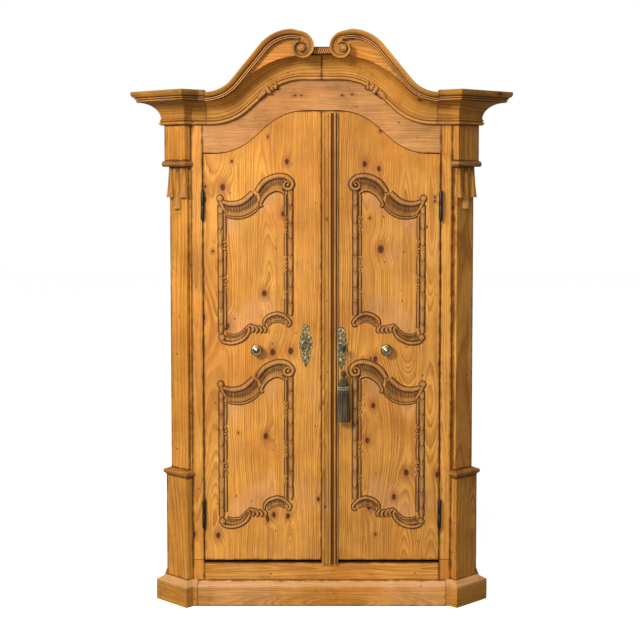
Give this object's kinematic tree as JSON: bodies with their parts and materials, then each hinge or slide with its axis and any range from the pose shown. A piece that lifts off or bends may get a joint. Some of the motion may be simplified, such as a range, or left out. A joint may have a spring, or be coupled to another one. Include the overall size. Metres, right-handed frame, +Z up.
{
  "type": "wardrobe",
  "caption": "Tall carved pine wardrobe with two hinged doors, canted pilasters, moulded cornice and a swan-neck pediment.",
  "frame": {"origin": "middle of the floor face under the whole outline", "axes": "+X to the right seen from the front, +Y to the back, +Z up; the doors face -Y"},
  "size_m": [1.5038, 0.6378, 2.2536],
  "materials": {
    "pine": "waxed",
    "carved_pine": "waxed",
    "plain_pine": "bare",
    "brass": "aged",
    "iron": "dark",
    "tassel_silk": "matt"
  },
  "bodies": {
    "carcass": {"plinth_front": "pine", "plinth_block_left": "pine", "plinth_block_right": "pine", "plinth_sides": "pine", "bottom_rail": "pine", "stile_left": "pine", "stile_right": "pine", "corner_board_left": "pine", "corner_board_right": "pine", "pedestal_left": "pine", "pedestal_right": "pine", "pedestal_caps": "pine", "pilaster_shaft_left": "pine", "pilaster_shaft_right": "pine", "pilaster_drops": "carved_pine", "capital_necks": "pine", "capital_left": "pine", "capital_right": "pine", "side_panel_left": "pine", "side_panel_right": "pine", "back_boards": "plain_pine", "floor_boards": "plain_pine", "top_boards": "plain_pine", "frieze_board": "pine", "cornice_cove_left": "pine", "cornice_cove_right": "pine", "cornice_corner_left": "pine", "cornice_corner_right": "pine", "cornice_sides": "pine", "swan_neck_left": "pine", "swan_neck_right": "pine", "pediment_board": "pine", "pediment_crest": "carved_pine", "cornice_husks": "carved_pine", "hat_shelf": "plain_pine", "shelf_cleats": "plain_pine", "hanging_rail": "plain_pine", "rail_brackets": "plain_pine", "hinge_frame_halves": "iron", "hinge_pins": "iron", "bolt_keepers": "iron"},
    "door_left": {"door_leaf_left": "pine", "carved_frames_left": "carved_pine", "escutcheon_left": "brass", "knob_left": "brass", "hinge_door_halves_left": "iron", "bolt_cases": "iron"},
    "door_right": {"door_leaf_right": "pine", "astragal": "pine", "carved_frames_right": "carved_pine", "escutcheon_right": "brass", "knob_right": "brass", "hinge_door_halves_right": "iron", "lock_case": "iron"},
    "key": {"key": "iron"},
    "lock_bolt": {"lock_bolt": "iron"},
    "top_bolt": {"top_bolt": "iron"},
    "bottom_bolt": {"bottom_bolt": "iron"},
    "tassel": {"tassel_cord": "tassel_silk", "tassel": "tassel_silk"}
  },
  "joints": [
    {"name": "door_left_hinge", "type": "hinge", "parent": "carcass", "child": "door_left", "pos_m": [-0.46325, -0.17707, 0.969], "axis": [0, 0, -1], "range_deg": [0, 115]},
    {"name": "door_right_hinge", "type": "hinge", "parent": "carcass", "child": "door_right", "pos_m": [0.46325, -0.17707, 0.969], "axis": [0, 0, 1], "range_deg": [0, 115]},
    {"name": "key_turn", "type": "hinge", "parent": "door_right", "child": "key", "pos_m": [0.085, -0.16907, 1.018], "axis": [0, 1, 0], "range_deg": [0, 180]},
    {"name": "lock_bolt_slide", "type": "slide", "parent": "door_right", "child": "lock_bolt", "axis": [-1, 0, 0], "range_m": [0, 0.025]},
    {"name": "top_bolt_slide", "type": "slide", "parent": "door_left", "child": "top_bolt", "axis": [0, 0, 1], "range_m": [0, 0.016]},
    {"name": "bottom_bolt_slide", "type": "slide", "parent": "door_left", "child": "bottom_bolt", "axis": [0, 0, -1], "range_m": [0, 0.016]},
    {"name": "tassel_swing", "type": "hinge", "parent": "door_right", "child": "tassel", "pos_m": [0.085, -0.20007, 1.018], "axis": [0, 1, 0], "range_deg": [-25, 25]}
  ],
  "couplings": [
    {"joint": "key_turn", "follows": "lock_bolt_slide", "rad_per_m": 125.66}
  ]
}
